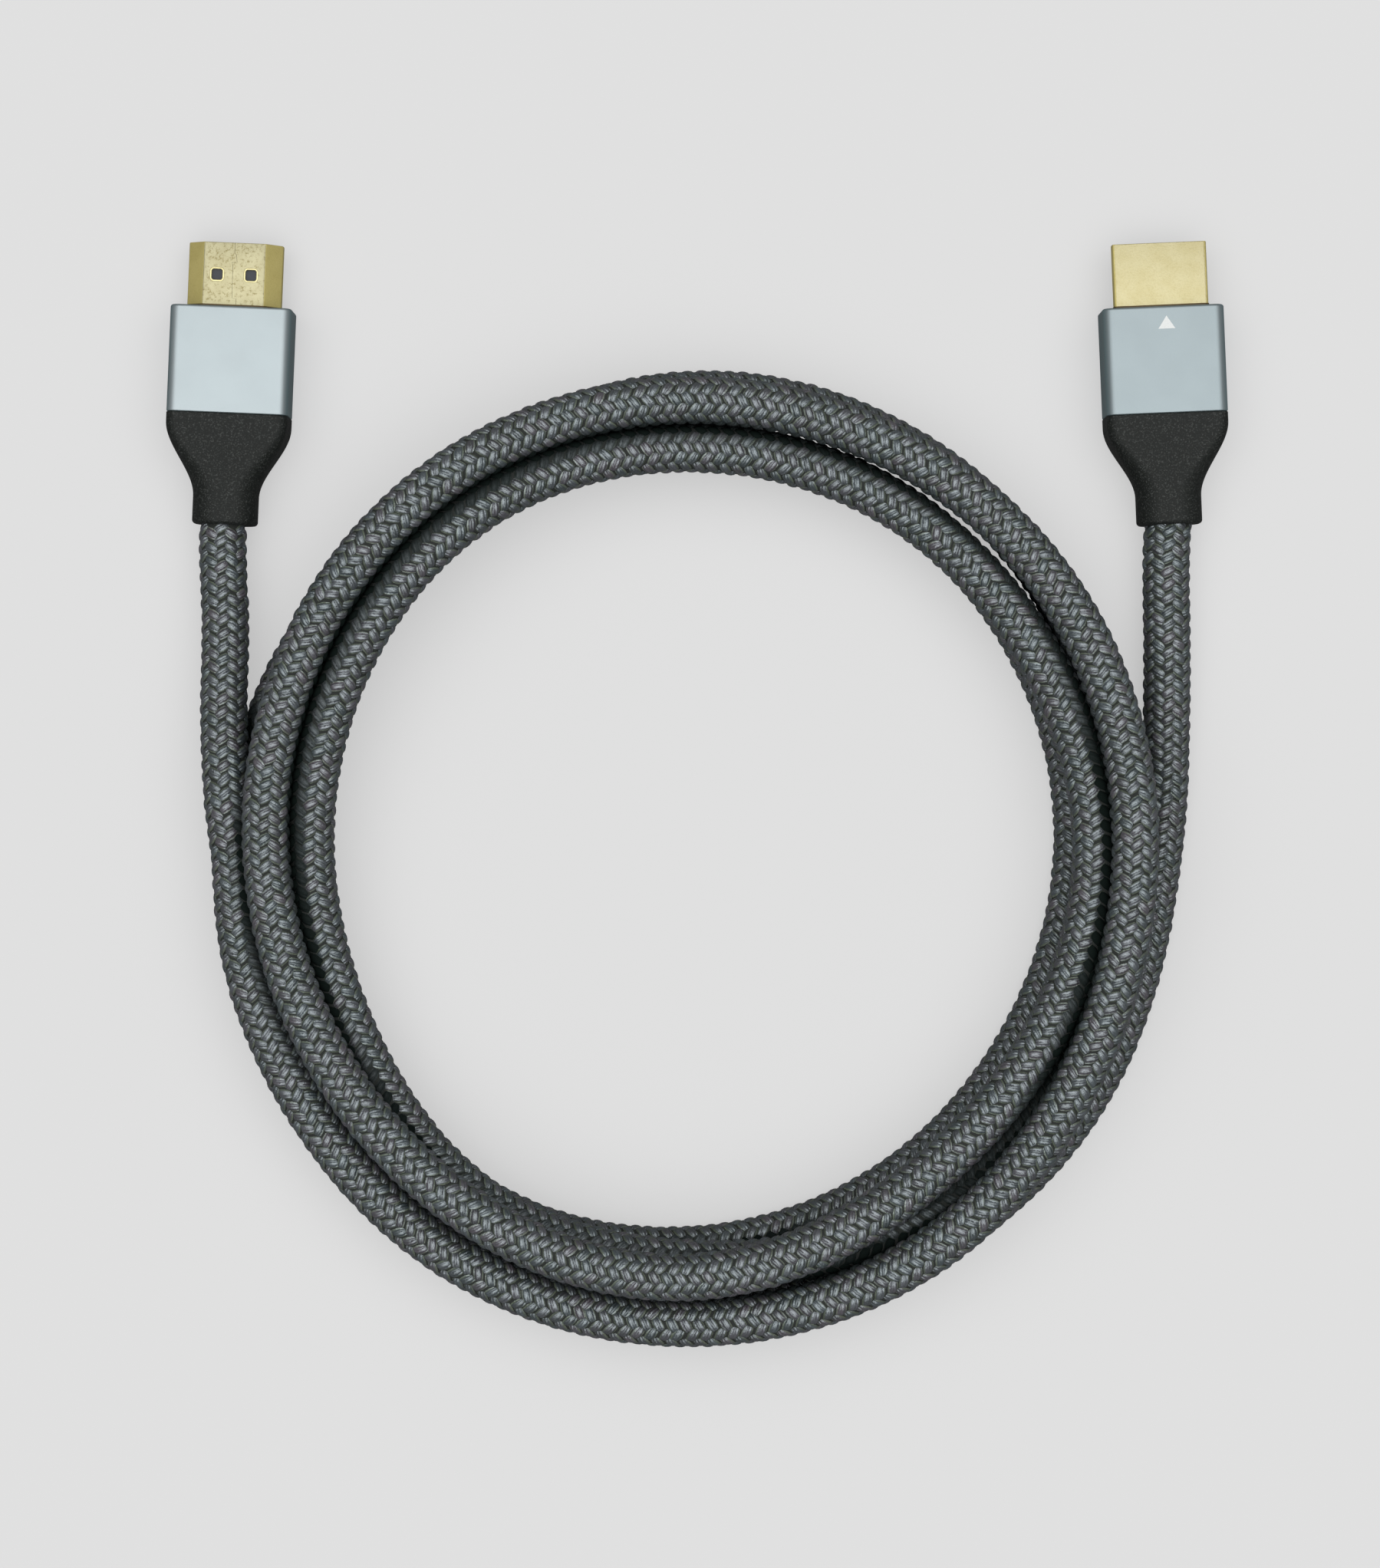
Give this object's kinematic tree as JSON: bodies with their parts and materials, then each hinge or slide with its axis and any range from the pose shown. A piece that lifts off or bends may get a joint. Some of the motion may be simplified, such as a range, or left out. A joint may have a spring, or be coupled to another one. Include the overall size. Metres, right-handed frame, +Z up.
{
  "type": "hdmi cable",
  "caption": "Audio and video cable wound into a flat round coil, with a flat gold-plated plug in an aluminium housing on each end of its braided cord.",
  "frame": {"origin": "on the table, midway between the two plugs: the bottom centre of the box around both plugs", "axes": "+X from the left plug to the right plug, +Y the way the plugs' mouths point, away from the coil, +Z up"},
  "size_m": [0.1562, 0.1628, 0.021],
  "materials": {
    "gold_plating": "satin gold plating",
    "insulator": "dark moulded plastic",
    "satin_aluminium": "satin, bead blasted",
    "moulded_relief": "matt black, soft",
    "braid": "grey textile braid"
  },
  "bodies": {
    "root": {"left_plug_shell": "gold_plating", "left_plug_insulator": "insulator", "left_plug_contact_01": "gold_plating", "left_plug_contact_02": "gold_plating", "left_plug_contact_03": "gold_plating", "left_plug_contact_04": "gold_plating", "left_plug_contact_05": "gold_plating", "left_plug_contact_06": "gold_plating", "left_plug_contact_07": "gold_plating", "left_plug_contact_08": "gold_plating", "left_plug_contact_09": "gold_plating", "left_plug_contact_10": "gold_plating", "left_plug_contact_11": "gold_plating", "left_plug_contact_12": "gold_plating", "left_plug_contact_13": "gold_plating", "left_plug_contact_14": "gold_plating", "left_plug_contact_15": "gold_plating", "left_plug_contact_16": "gold_plating", "left_plug_contact_17": "gold_plating", "left_plug_contact_18": "gold_plating", "left_plug_contact_19": "gold_plating", "left_plug_housing": "satin_aluminium", "left_plug_strain_relief": "moulded_relief", "right_plug_shell": "gold_plating", "right_plug_insulator": "insulator", "right_plug_contact_01": "gold_plating", "right_plug_contact_02": "gold_plating", "right_plug_contact_03": "gold_plating", "right_plug_contact_04": "gold_plating", "right_plug_contact_05": "gold_plating", "right_plug_contact_06": "gold_plating", "right_plug_contact_07": "gold_plating", "right_plug_contact_08": "gold_plating", "right_plug_contact_09": "gold_plating", "right_plug_contact_10": "gold_plating", "right_plug_contact_11": "gold_plating", "right_plug_contact_12": "gold_plating", "right_plug_contact_13": "gold_plating", "right_plug_contact_14": "gold_plating", "right_plug_contact_15": "gold_plating", "right_plug_contact_16": "gold_plating", "right_plug_contact_17": "gold_plating", "right_plug_contact_18": "gold_plating", "right_plug_contact_19": "gold_plating", "right_plug_housing": "satin_aluminium", "right_plug_strain_relief": "moulded_relief", "cord_coil": "braid", "cord_tail_left": "braid", "cord_tail_right": "braid"}
  },
  "joints": []
}
